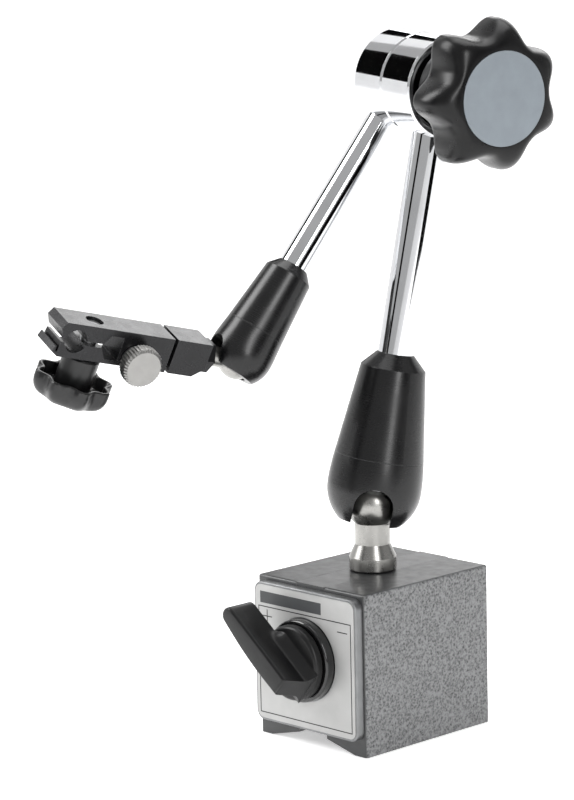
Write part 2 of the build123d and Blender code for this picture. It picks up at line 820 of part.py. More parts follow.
swing = (tongue_end - pivot_place) * tan(radians(fine_limit))
with BuildPart() as holder_block:
    with BuildSketch(holder_profile):
        with BuildLine():
            Polyline(
                (front_block_start, half_block),
                (block_tip, half_block),
                (block_tip + lip_lean, half_block - lip_height),
                (block_tip + mouth_flare, slot_mouth),
                (block_tip, slit_top),
                (bore_centre, slit_top),
                (bore_centre, jaw_top),
                (block_tip, jaw_top),
                (block_tip + fin_thickness, -fin_floor),
                (block_tip + fin_thickness + fin_slot, -fin_floor),
                (lip_tip - fin_thickness, -lip_top),
                (lip_tip, -lip_top),
                (lip_tip + lip_bulge, -half_block + lip_foot),
                (block_tip, -half_block),
                (front_block_start, -half_block),
                close=True,
            )
        make_face()
    extrude(amount=half_block, both=True)
    with BuildSketch(holder_profile):
        with Locations((bore_centre, 0)):
            Circle(stem_bore_radius)
        with Locations(((jaw_start + bore_centre) / 2, (slit_top + jaw_top) / 2)):
            Rectangle(bore_centre - jaw_start, slit_top - jaw_top)
        with BuildLine():
            Polyline(
                (relief_start, relief_height),
                (jaw_start, relief_height),
                (jaw_start + lip_slope, slit_top),
                (jaw_start + lip_slope, jaw_top),
                (jaw_start, -half_block + flexure),
                (relief_start, -half_block + flexure),
                close=True,
            )
        make_face()
    extrude(amount=half_block, both=True, mode=Mode.SUBTRACT)
    with BuildSketch(holder.offset(front_block_start)):
        Rectangle(tongue_width + 2 * (swing + loose), tongue_height + 2 * loose)
    extrude(amount=tongue_end + loose - front_block_start, mode=Mode.SUBTRACT)
    with BuildSketch(pivot_plane.offset(-half_block)):
        Circle(pivot_radius)
    extrude(amount=block_size - pivot_cover, mode=Mode.SUBTRACT)
    with BuildSketch(clamp_plane):
        Circle(clamp_screw_radius + running)
    extrude(amount=block_size, both=True, mode=Mode.SUBTRACT)
    with BuildSketch(screw_plane):
        Circle(adjust_screw_radius + running)
    extrude(amount=block_size, mode=Mode.SUBTRACT)
finish(holder_block, "holder_block")

with BuildPart() as pivot_pin:
    with BuildSketch(pivot_plane.offset(-half_block + 0.2)):
        Circle(pivot_radius)
    extrude(amount=block_size - pivot_cover - 0.2)
finish(pivot_pin, "pivot_pin")

# ---------------------------------------------------------------- holder: the two screws and their knobs
screw_tip = tongue_width / 2 + swing
with BuildPart() as thumbscrew:
    with BuildSketch(side_of(screw_plane)):
        with BuildLine():
            Polyline(
                (0, screw_tip),
                (adjust_screw_radius, screw_tip),
                (adjust_screw_radius, half_block + loose),
                (adjust_collar_radius, half_block + loose),
                (adjust_collar_radius, adjust_head_start),
                (adjust_head_radius - adjust_edge, adjust_head_start),
                (adjust_head_radius, adjust_head_start + adjust_edge),
                (adjust_head_radius, adjust_head_start + adjust_head_length - adjust_chamfer),
                (adjust_head_radius - adjust_chamfer, adjust_head_start + adjust_head_length),
                (0, adjust_head_start + adjust_head_length),
                close=True,
            )
        make_face()
    revolve(axis=axis_of(screw_plane))
finish(thumbscrew, "thumbscrew")

with BuildPart() as clamp_screw:
    with BuildSketch(clamp_plane.offset(half_block - clamp_recess)):
        Circle(clamp_screw_radius)
    extrude(amount=clamp_knob_bottom + clamp_floor - half_block + clamp_recess)
    chamfer(clamp_screw.faces().sort_by(axis_of(clamp_plane))[-1].edges(), screw_chamfer)
finish(clamp_screw, "clamp_screw")

with BuildPart() as clamp_knob:
    with BuildSketch(clamp_plane.offset(clamp_knob_bottom)):
        add_star(clamp_knob_lobes, clamp_knob_radius, clamp_knob_waist)
    extrude(amount=clamp_rim_top - clamp_knob_bottom)
    with BuildSketch(side_of(clamp_plane)):
        with BuildLine():
            Polyline(
                (0, clamp_knob_bottom),
                (0, clamp_rim_top),
                (clamp_knob_radius + star_spare, clamp_rim_top),
                (clamp_knob_radius + star_spare, clamp_rim_top - clamp_rim_height),
            )
            Spline(
                (clamp_knob_radius + star_spare, clamp_rim_top - clamp_rim_height),
                (clamp_knob_flat, clamp_knob_bottom),
                tangents=((0, -1), (-1, -0.1)),
            )
            Line((clamp_knob_flat, clamp_knob_bottom), (0, clamp_knob_bottom))
        make_face()
    revolve(axis=axis_of(clamp_plane), mode=Mode.INTERSECT)
    with BuildSketch(clamp_plane.offset(clamp_rim_top)):
        add_star(clamp_knob_lobes, clamp_knob_radius - clamp_knob_wall, clamp_knob_waist - clamp_knob_wall)
        Circle(clamp_hub_radius, mode=Mode.SUBTRACT)
    extrude(amount=-cavity_depth, mode=Mode.SUBTRACT)
    with BuildSketch(clamp_plane.offset(clamp_knob_bottom)):
        Circle(clamp_hub_radius)
    extrude(amount=clamp_hub_top - clamp_knob_bottom)
    with BuildSketch(clamp_plane.offset(clamp_knob_bottom + clamp_floor)):
        Circle(clamp_screw_radius)
    extrude(amount=clamp_hub_top - clamp_knob_bottom, mode=Mode.SUBTRACT)
finish(clamp_knob, "clamp_knob")
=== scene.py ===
"""Looks for an indicator stand: a switchable magnetic base, two ball-jointed arms and an indicator holder.

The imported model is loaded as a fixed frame. Each sub-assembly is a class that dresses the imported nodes
with their finishes and adds or replaces the pieces whose moulded shapes need a finer mesh.
Lengths are metres unless a name ends in `_mm`, and colours are sRGB hex.
"""

from __future__ import annotations

import json
import logging
import math
from dataclasses import dataclass
from enum import Enum
from typing import Any, Callable, Iterable, Iterator, Sequence

import bmesh
import bpy
from mathutils import Matrix, Vector

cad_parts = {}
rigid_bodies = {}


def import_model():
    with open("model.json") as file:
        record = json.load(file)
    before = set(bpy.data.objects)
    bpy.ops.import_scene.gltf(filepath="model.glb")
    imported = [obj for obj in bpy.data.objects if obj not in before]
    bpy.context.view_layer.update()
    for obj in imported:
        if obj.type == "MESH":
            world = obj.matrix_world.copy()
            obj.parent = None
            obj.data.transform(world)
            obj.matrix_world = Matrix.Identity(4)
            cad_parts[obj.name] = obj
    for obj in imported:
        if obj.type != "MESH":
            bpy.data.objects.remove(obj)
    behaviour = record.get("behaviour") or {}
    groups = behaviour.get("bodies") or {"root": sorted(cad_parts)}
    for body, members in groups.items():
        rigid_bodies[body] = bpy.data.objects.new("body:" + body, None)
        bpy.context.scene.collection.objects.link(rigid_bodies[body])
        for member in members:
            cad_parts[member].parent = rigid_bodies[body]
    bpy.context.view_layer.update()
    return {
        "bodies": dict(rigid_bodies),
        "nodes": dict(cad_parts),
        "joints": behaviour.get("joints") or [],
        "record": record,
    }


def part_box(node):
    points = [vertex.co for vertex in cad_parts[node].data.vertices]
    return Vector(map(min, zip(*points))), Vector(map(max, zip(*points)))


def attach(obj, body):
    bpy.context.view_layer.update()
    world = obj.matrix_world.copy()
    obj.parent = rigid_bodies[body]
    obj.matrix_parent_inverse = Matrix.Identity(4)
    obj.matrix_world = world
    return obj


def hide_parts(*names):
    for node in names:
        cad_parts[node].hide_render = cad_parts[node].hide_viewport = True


log = logging.getLogger("stand")
MM = 0.001
Ring = Callable[[float], tuple[float, float]]


# ---------------------------------------------------------------- colour and shader helpers
def linear(hex_colour: str) -> tuple[float, float, float, float]:
    """Turns an sRGB hex colour into linear RGBA.

    Args:
        hex_colour: six hex digits with a leading hash.

    Returns:
        Linear red, green and blue with full alpha.
    """
    channels = [int(hex_colour[i : i + 2], 16) / 255 for i in (1, 3, 5)]
    values = [c / 12.92 if c <= 0.04045 else ((c + 0.055) / 1.055) ** 2.4 for c in channels]
    return (*values, 1.0)


def per_metre(size_mm: float) -> float:
    """Returns a texture scale whose features are about `size_mm` across."""
    return 1.0 / (size_mm * MM)


def add(tree: bpy.types.NodeTree, kind: str, inputs: dict[Any, Any] | None = None, **settings: Any) -> Any:
    """Adds one shader node.

    Args:
        tree: the node tree that gets it.
        kind: the node's type name without its ShaderNode prefix.
        inputs: input names or numbers with a value, or with an output socket to link.
        **settings: attributes of the node itself.

    Returns:
        The new node.
    """
    node = tree.nodes.new("ShaderNode" + kind)
    for name, value in settings.items():
        setattr(node, name, value)
    for name, value in (inputs or {}).items():
        if isinstance(value, bpy.types.NodeSocket):
            tree.links.new(value, node.inputs[name])
        else:
            node.inputs[name].default_value = value
    return node


@dataclass(frozen=True)
class AxisLine:
    """A line that a turned piece is round about, as an origin and a unit direction."""

    origin: Vector
    direction: Vector

    def basis(self) -> Matrix:
        """Returns the matrix whose Z axis is the line and whose origin is on it."""
        turn = self.direction.to_track_quat("Z", "Y").to_matrix().to_4x4()
        return Matrix.Translation(self.origin) @ turn


class Side(Enum):
    """Which arm a piece belongs to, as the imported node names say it."""

    LOWER = "lower"
    UPPER = "upper"


# an edge is rubbed where the cosine from its true to its rounded normal falls from the first to the second
WEAR_START, WEAR_FULL = 0.995, 0.90
RUB_MM = 1.2  # size of the breaks along a rubbed edge
CLOUD_LOW, CLOUD_HIGH = 0.25, 0.75  # the part of the noise that spreads over the roughness range
CLOUD_SHADE = 0.9  # brightness of the darker patches beside the main colour
COAT_ROUGHNESS = 0.12


@dataclass(frozen=True)
class Finish:
    """A material with a base colour, a roughness that varies a little, soft edges and light wear on them.

    Attributes:
        name: the material's name.
        colour: main colour.
        worn: colour of the edges where the surface is rubbed.
        metallic: 0 for plastic and paint, 1 for metal.
        roughness: middle of the roughness range.
        spread: half of the roughness range.
        cloud_mm: size of the patches in which roughness varies.
        edge_mm: rounding that the shading gives to sharp edges.
        wear: strength of the rubbed edges.
        coat: strength of a clear glossy layer on top.
        specular: strength of a non-metal's own reflection.
    """

    name: str
    colour: str
    worn: str
    metallic: float = 0.0
    roughness: float = 0.4
    spread: float = 0.04
    cloud_mm: float = 6.0
    edge_mm: float = 0.2
    wear: float = 0.3
    coat: float = 0.0
    specular: float = 0.5

    def build(self) -> bpy.types.Material:
        """Makes the material, with the surface pattern that `pattern` adds.

        Returns:
            The new material.
        """
        material = bpy.data.materials.new(self.name)
        material.use_nodes = True
        tree = material.node_tree
        shader = tree.nodes["Principled BSDF"]
        place = add(tree, "TexCoord").outputs["Object"]
        bevel = add(tree, "Bevel", {"Radius": self.edge_mm * MM}, samples=4)
        shape = add(tree, "NewGeometry")
        flat = add(
            tree,
            "VectorMath",
            {0: bevel.outputs["Normal"], 1: shape.outputs["Normal"]},
            operation="DOT_PRODUCT",
        )
        breakup = add(tree, "TexNoise", {"Vector": place, "Scale": per_metre(RUB_MM), "Detail": 4.0})
        edge = add(
            tree,
            "MapRange",
            {
                "Value": flat.outputs["Value"],
                "From Min": WEAR_START,
                "From Max": WEAR_FULL,
                "To Min": 0.0,
                "To Max": self.wear,
            },
        )
        rubbed = add(
            tree, "Math", {0: edge.outputs["Result"], 1: breakup.outputs["Fac"]}, operation="MULTIPLY"
        )
        cloud = add(tree, "TexNoise", {"Vector": place, "Scale": per_metre(self.cloud_mm), "Detail": 5.0})
        gloss = add(
            tree,
            "MapRange",
            {
                "Value": cloud.outputs["Fac"],
                "From Min": CLOUD_LOW,
                "From Max": CLOUD_HIGH,
                "To Min": self.roughness - self.spread,
                "To Max": self.roughness + self.spread,
            },
        )
        rounded = bevel.outputs["Normal"]
        colour, roughness, normal = self.pattern(tree, place, gloss.outputs["Result"], rounded)
        if colour is None:
            darker = linear(self.shade(CLOUD_SHADE))
            colour = add(
                tree,
                "Mix",
                {"Factor": cloud.outputs["Fac"], "A": linear(self.colour), "B": darker},
                data_type="RGBA",
            ).outputs["Result"]
        mixed = add(
            tree,
            "Mix",
            {"Factor": rubbed.outputs["Value"], "A": colour, "B": linear(self.worn)},
            data_type="RGBA",
        )
        tree.links.new(mixed.outputs["Result"], shader.inputs["Base Color"])
        tree.links.new(roughness, shader.inputs["Roughness"])
        tree.links.new(normal, shader.inputs["Normal"])
        shader.inputs["Metallic"].default_value = self.metallic
        shader.inputs["Coat Weight"].default_value = self.coat
        shader.inputs["Coat Roughness"].default_value = COAT_ROUGHNESS
        if self.metallic < 1.0:
            shader.inputs["Specular IOR Level"].default_value = self.specular
        return material

    def shade(self, factor: float) -> str:
        """Returns the main colour made darker or lighter by a factor."""
        channels = [min(255, round(int(self.colour[i : i + 2], 16) * factor)) for i in (1, 3, 5)]
        return "#" + "".join(f"{c:02x}" for c in channels)

    def pattern(self, tree: Any, place: Any, gloss: Any, normal: Any) -> tuple[Any, Any, Any]:
        """Adds the finish's own pattern.

        Args:
            tree: the material's node tree.
            place: socket with the position on the piece.
            gloss: socket with the varying roughness.
            normal: socket with the edge-rounded normal.

        Returns:
            Sockets for colour (or None for the plain colour), roughness and normal.
        """
        return None, gloss, normal


@dataclass(frozen=True)
class HammerPaint(Finish):
    """Hammer-finish enamel, sprayed: pooled pigment in cells with a raised, glossy skin between them.

    Attributes:
        cell_mm: size of one cell.
        low: colour of the hollows.
        high: colour of the raised skin.
        machined: colour of the smooth top and front faces.
        depth_mm: height of the relief.
        low_at: pattern value of the hollows.
        high_at: pattern value of the raised skin.
        smooth_from: how squarely a side faces up or forwards where the cells start to fade.
        smooth_to: how squarely it does so where they are gone.
    """

    cell_mm: float = 1.1
    low: str = "#222324"
    high: str = "#78797a"
    machined: str = "#2e2f30"
    depth_mm: float = 0.05
    low_at: float = 0.46
    high_at: float = 0.92
    smooth_from: float = 0.55
    smooth_to: float = 0.85

    def pattern(self, tree: Any, place: Any, gloss: Any, normal: Any) -> tuple[Any, Any, Any]:
        """Adds cells of pigment and their relief, and leaves the ground top and front faces smooth."""
        facing = add(tree, "TexCoord").outputs["Normal"]
        sides = add(tree, "SeparateXYZ", {"Vector": facing})
        front = add(tree, "Math", {0: sides.outputs["Y"], 1: -1.0}, operation="MULTIPLY")
        ground = add(
            tree, "Math", {0: sides.outputs["Z"], 1: front.outputs["Value"]}, operation="MAXIMUM"
        )
        sprayed = add(
            tree,
            "MapRange",
            {
                "Value": ground.outputs["Value"],
                "From Min": self.smooth_from,
                "From Max": self.smooth_to,
                "To Min": 1.0,
                "To Max": 0.0,
            },
        )
        warp = add(tree, "TexNoise", {"Vector": place, "Scale": per_metre(self.cell_mm * 1.5), "Detail": 2.0})
        moved = add(
            tree,
            "VectorMath",
            {0: warp.outputs["Color"], 1: (self.cell_mm * MM * 0.9,) * 3, 2: place},
            operation="MULTIPLY_ADD",
        )
        cells = add(
            tree,
            "TexVoronoi",
            {"Vector": moved.outputs["Vector"], "Scale": per_metre(self.cell_mm), "Smoothness": 0.6},
            feature="SMOOTH_F1",
        )
        fine = per_metre(self.cell_mm * 0.6)
        grain = add(tree, "TexNoise", {"Vector": place, "Scale": fine, "Detail": 3.0})
        both = add(
            tree,
            "Math",
            {0: cells.outputs["Distance"], 1: 0.55, 2: grain.outputs["Fac"]},
            operation="MULTIPLY_ADD",
        )
        ramp = add(tree, "ValToRGB", {"Fac": both.outputs["Value"]})
        ramp.color_ramp.elements[0].position = self.low_at
        ramp.color_ramp.elements[0].color = linear(self.low)
        ramp.color_ramp.elements[1].position = self.high_at
        ramp.color_ramp.elements[1].color = linear(self.high)
        skin_colour = add(
            tree,
            "Mix",
            {"Factor": sprayed.outputs["Result"], "A": linear(self.machined), "B": ramp.outputs["Color"]},
            data_type="RGBA",
        )
        relief = add(
            tree,
            "Bump",
            {
                "Height": both.outputs["Value"],
                "Distance": self.depth_mm * MM,
                "Strength": sprayed.outputs["Result"],
                "Normal": normal,
            },
        )
        return skin_colour.outputs["Result"], gloss, relief.outputs["Normal"]


@dataclass(frozen=True)
class FineGrain(Finish):
    """A surface with a fine even grain, as a moulding tool's spark texture or a bead-blasted metal leaves."""

    grain_mm: float = 0.35
    depth_mm: float = 0.02

    def pattern(self, tree: Any, place: Any, gloss: Any, normal: Any) -> tuple[Any, Any, Any]:
        """Adds the grain's relief."""
        grain = add(tree, "TexNoise", {"Vector": place, "Scale": per_metre(self.grain_mm), "Detail": 3.0})
        relief = add(
            tree,
            "Bump",
            {
                "Height": grain.outputs["Fac"],
                "Distance": self.depth_mm * MM,
                "Strength": 0.6,
                "Normal": normal,
            },
        )
        return None, gloss, relief.outputs["Normal"]


@dataclass(frozen=True)
class RoundMetal(Finish):
    """A metal with marks that run round an axis, from a lathe tool or a polishing wheel."""

    line: AxisLine | None = None
    mark_mm: float = 0.12
    depth_mm: float = 0.004
    streak: float = 0.06

    def pattern(self, tree: Any, place: Any, gloss: Any, normal: Any) -> tuple[Any, Any, Any]:
        """Adds rings whose place depends only on the height along the axis and the distance from it."""
        back = self.line.basis().inverted()
        local = add(
            tree,
            "Mapping",
            {
                "Vector": place,
                "Location": back.to_translation(),
                "Rotation": back.to_euler(),
                "Scale": (1.0, 1.0, 1.0),
            },
            vector_type="POINT",
        )
        parts = add(tree, "SeparateXYZ", {"Vector": local.outputs["Vector"]})
        flat = add(tree, "CombineXYZ", {"X": parts.outputs["X"], "Y": parts.outputs["Y"]})
        reach = add(tree, "VectorMath", {0: flat.outputs["Vector"]}, operation="LENGTH")
        across = add(tree, "CombineXYZ", {"X": reach.outputs["Value"], "Y": parts.outputs["Z"]})
        rings = add(
            tree,
            "TexNoise",
            {
                "Vector": across.outputs["Vector"],
                "Scale": per_metre(self.mark_mm),
                "Detail": 2.0,
                "Roughness": 0.6,
            },
        )
        streaked = add(
            tree, "Math", {0: rings.outputs["Fac"], 1: self.streak, 2: gloss}, operation="MULTIPLY_ADD"
        )
        relief = add(
            tree,
            "Bump",
            {
                "Height": rings.outputs["Fac"],
                "Distance": self.depth_mm * MM,
                "Strength": 0.5,
                "Normal": normal,
            },
        )
        return None, streaked.outputs["Value"], relief.outputs["Normal"]


# ---------------------------------------------------------------- mesh helpers
def quarter(steps: int, first: int = 0) -> Iterator[float]:
    """Yields the angles of a quarter turn in equal steps from the given one, in radians."""
    for step in range(first, steps + 1):
        yield math.radians(90 * step / steps)


@dataclass(frozen=True)
class Waves:
    """Waves round a ring, such as a knob's lobes or a knurl's ridges.

    Attributes:
        count: waves in one turn.
        depth_mm: how far they stand out of the ring, or cut into it when negative.
        power: above 1, the tips are narrower than the hollows.
    """

    count: int = 1
    depth_mm: float = 0.0
    power: float = 1.0

    def height(self, angle: float) -> float:
        """Returns 1 at a tip and 0 in a hollow."""
        return (0.5 + 0.5 * math.cos(self.count * angle)) ** self.power

    def ring(self, radius: float, height: float, share: float = 0.0) -> Ring:
        """Returns a ring for `skin`, in millimetres, whose waves have a share of their full depth."""
        return lambda angle: ((radius + self.depth_mm * share * self.height(angle)) * MM, height * MM)


def piece(
    name: str, points: Sequence[Vector], faces: Sequence[Sequence[int]], smooth: bool = True
) -> bpy.types.Object:
    """Makes a mesh object.

    Args:
        name: the object's name.
        points: its vertices.
        faces: vertex numbers of each face.
        smooth: whether the faces are shaded smooth.

    Returns:
        The new object, linked into the scene.
    """
    mesh = bpy.data.meshes.new(name)
    mesh.from_pydata([tuple(p) for p in points], [], [tuple(f) for f in faces])
    mesh.validate()
    build = bmesh.new()
    build.from_mesh(mesh)
    bmesh.ops.recalc_face_normals(build, faces=build.faces)
    build.to_mesh(mesh)
    build.free()
    mesh.polygons.foreach_set("use_smooth", [smooth] * len(mesh.polygons))
    obj = bpy.data.objects.new(name, mesh)
    bpy.context.scene.collection.objects.link(obj)
    return obj


def skin(name: str, frame: Matrix, rings: Sequence[Ring], steps: int) -> bpy.types.Object:
    """Makes a closed mesh through rings about a frame's Z axis.

    Args:
        name: the object's name.
        frame: matrix whose Z axis is the middle of every ring.
        rings: functions from an angle to (radius, height), in order; the first and last are filled.
        steps: points in each ring.

    Returns:
        The new object.
    """
    points, faces = [], []
    for ring in rings:
        for step in range(steps):
            angle = 2 * math.pi * step / steps
            radius, height = ring(angle)
            points.append(frame @ Vector((radius * math.cos(angle), radius * math.sin(angle), height)))
    for row in range(len(rings) - 1):
        for step in range(steps):
            following = (step + 1) % steps
            faces.append(
                (
                    row * steps + step,
                    row * steps + following,
                    (row + 1) * steps + following,
                    (row + 1) * steps + step,
                )
            )
    faces.append(tuple(reversed(range(steps))))
    faces.append(tuple((len(rings) - 1) * steps + step for step in range(steps)))
    return piece(name, points, faces)


def crease(obj: bpy.types.Object, degrees: float) -> None:
    """Keeps edges sharper than an angle sharp in a smooth-shaded mesh."""
    mesh = obj.data
    build = bmesh.new()
    build.from_mesh(mesh)
    for edge in build.edges:
        edge.smooth = len(edge.link_faces) == 2 and edge.calc_face_angle(0) < math.radians(degrees)
    build.to_mesh(mesh)
    build.free()


def merge(name: str, parts: Sequence[bpy.types.Object]) -> bpy.types.Object:
    """Joins meshes into one object.

    Args:
        name: the joined object's name.
        parts: objects in the world frame, which are removed.

    Returns:
        The joined object.
    """
    build = bmesh.new()
    for part in parts:
        build.from_mesh(part.data)
        bpy.data.objects.remove(part)
    mesh = bpy.data.meshes.new(name)
    build.to_mesh(mesh)
    build.free()
    obj = bpy.data.objects.new(name, mesh)
    bpy.context.scene.collection.objects.link(obj)
    return obj


def dress(obj: bpy.types.Object, material: bpy.types.Material) -> None:
    """Gives an object one material."""
    obj.data.materials.clear()
    obj.data.materials.append(material)


@dataclass(frozen=True)
class Joints:
    """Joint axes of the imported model, by name."""

    rows: dict[str, dict[str, Any]]

    def line(self, name: str) -> AxisLine:
        """Returns a hinge's axis as a line."""
        row = self.rows[name]
        return AxisLine(Vector(row["pos_m"]), Vector(row["axis"]).normalized())


@dataclass
class SubAssembly:
    """Common work of every sub-assembly: it knows the frame and reports what it dresses.

    Attributes:
        nodes: packed objects by node name.
        joints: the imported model's joint axes.
    """

    nodes: dict[str, bpy.types.Object]
    joints: Joints

    def wear(self, names: Iterable[str], finish: Finish) -> bpy.types.Material:
        """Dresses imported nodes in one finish.

        Args:
            names: node names.
            finish: the finish to build.

        Returns:
            The material, for pieces added later.
        """
        material = finish.build()
        for name in names:
            dress(self.nodes[name], material)
            log.info("%s: %s", name, finish.name)
        return material

    def place(
        self,
        obj: bpy.types.Object,
        body: str,
        slot: str,
        material: bpy.types.Material,
        instead: Sequence[str] = (),
    ) -> None:
        """Dresses a new piece, fixes it to a body and hides the nodes that it replaces.

        Args:
            obj: the piece.
            body: the body that it rides on.
            slot: the record's material slot; not used.
            material: its material.
            instead: nodes that it replaces.
        """
        dress(obj, material)
        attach(obj, body)
        if instead:
            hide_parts(*instead)
        log.info("%s rides %s", obj.name, body)


# ---------------------------------------------------------------- sub-assemblies
@dataclass
class MagneticBase(SubAssembly):
    """The block with two steel poles, its painted skin, front plate, label and fixed ring."""

    print_height_mm: float = 0.03
    line_mm: float = 0.35
    frame_left_mm: float = -21.6
    frame_right_mm: float = 21.6
    frame_low_mm: float = 8.4
    frame_high_mm: float = 45.2
    bar_left_mm: float = -20.8
    bar_right_mm: float = 8.0
    bar_low_mm: float = 46.4
    bar_high_mm: float = 50.4
    sign_mm: float = 4.6

    def build(self) -> None:
        """Dresses the base and prints the label."""
        self.wear(
            ("pole_left", "pole_right"),
            HammerPaint(
                # pigment pools dark between pale raised cells: the mottled sides of the base
                "hammer_enamel_sprayed",
                colour="#6e6f70", worn="#a9a9a8", metallic=0.0, roughness=0.42, spread=0.07,
                cloud_mm=3.0, edge_mm=0.5, wear=0.25, coat=0.25,
            ),
        )
        self.wear(
            ("spacer_bottom", "spacer_top", "rear_plate"),
            FineGrain(
                # plain sprayed enamel: an even dark satin beside the mottled sides
                "enamel_smooth_sprayed",
                colour="#2e2f30", worn="#8b8b8a", metallic=0.0, roughness=0.36, spread=0.05,
                cloud_mm=5.0, edge_mm=0.3, wear=0.25, coat=0.2,
            ),
        )
        self.wear(
            ("front_plate", *(f"plate_screw_{n}" for n in (1, 2, 3, 4))),
            FineGrain(
                # blasted, then anodised: a soft grey sheen without streaks, brighter along the edges
                "aluminium_anodised_blasted",
                colour="#8b8c8d", worn="#bdbdbd", metallic=1.0, roughness=0.46, spread=0.05,
                cloud_mm=4.0, edge_mm=0.25, wear=0.4,
            ),
        )
        self.wear(
            ("front_label",),
            FineGrain(
                # printed foil: a flat pale silver that stays dull from every side
                "foil_silver_printed",
                colour="#b6b6b5", worn="#d4d4d4", metallic=0.35, roughness=0.42, spread=0.04,
                cloud_mm=8.0, edge_mm=0.1, wear=0.2, grain_mm=0.25,
            ),
        )
        self.wear(
            ("lever_ring",),
            Finish(
                # polished ABS: near-black with one sharp highlight along the rim
                "abs_black_polished",
                colour="#0c0c0d", worn="#3a3a3b", metallic=0.0, roughness=0.16, spread=0.05,
                cloud_mm=4.0, edge_mm=0.4, wear=0.3, coat=0.4,
            ),
        )
        self.wear(
            ("magnet_rotor",),
            FineGrain(
                # ground ferrite: dull charcoal with a faint glint of metal
                "ferrite_ground",
                colour="#3b3a39", worn="#6d6b69", metallic=0.6, roughness=0.5, spread=0.06,
                cloud_mm=3.0, edge_mm=0.2, wear=0.3,
            ),
        )
        self.print_label()

    def print_label(self) -> None:
        """Lays the label's thin frame line, its two signs and a plain bar on the foil."""
        ink = Finish(
            # screen ink: a thin matt black that takes no highlight
            "ink_black_screen_printed",
            colour="#1d1d1e", worn="#4a4a4b", metallic=0.0, roughness=0.5, spread=0.03, cloud_mm=3.0,
            edge_mm=0.02, wear=0.0,
        ).build()
        grey = Finish(
            # screen ink: a matt dark grey, a little lighter than the lines
            "ink_grey_screen_printed",
            colour="#3a3c3e", worn="#77797b", metallic=0.0, roughness=0.45, spread=0.03, cloud_mm=3.0,
            edge_mm=0.02, wear=0.0,
        ).build()
        half = self.line_mm / 2
        left, right = self.frame_left_mm, self.frame_right_mm
        low, high = self.frame_low_mm, self.frame_high_mm
        plus_x, minus_x, sign_z = left + 4.0, right - 3.8, high - 3.2
        arm = self.sign_mm / 2
        lines = (
            (left - half, right + half, high - half, high + half),
            (left - half, right + half, low - half, low + half),
            (left - half, left + half, low, high),
            (right - half, right + half, low, high),
            (plus_x - arm, plus_x + arm, sign_z - half, sign_z + half),
            (plus_x - half, plus_x + half, sign_z - arm, sign_z + arm),
            (minus_x - arm, minus_x + arm, sign_z - half, sign_z + half),
        )
        self.place(self.printed("label_lines", lines), "base", "printed_foil", ink)
        bar = ((self.bar_left_mm, self.bar_right_mm, self.bar_low_mm, self.bar_high_mm),)
        self.place(self.printed("label_bar", bar), "base", "printed_foil", grey)

    def printed(self, name: str, boxes: Sequence[tuple[float, float, float, float]]) -> bpy.types.Object:
        """Makes thin slabs of ink on the label.

        Args:
            name: the piece's name.
            boxes: left, right, low and high edges of each slab, in millimetres.

        Returns:
            The new piece.
        """
        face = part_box("front_label")[0][1]
        points, faces = [], []
        for left, right, low, high in boxes:
            start = len(points)
            for depth in (face + 0.005 * MM, face - self.print_height_mm * MM):
                for x, z in ((left, low), (right, low), (right, high), (left, high)):
                    points.append(Vector((x * MM, depth, z * MM)))
            for a, b, c, d in (
                (0, 1, 2, 3), (7, 6, 5, 4), (0, 4, 5, 1), (1, 5, 6, 2), (2, 6, 7, 3), (3, 7, 4, 0)
            ):
                faces.append((start + a, start + b, start + c, start + d))
        return piece(name, points, faces, smooth=False)


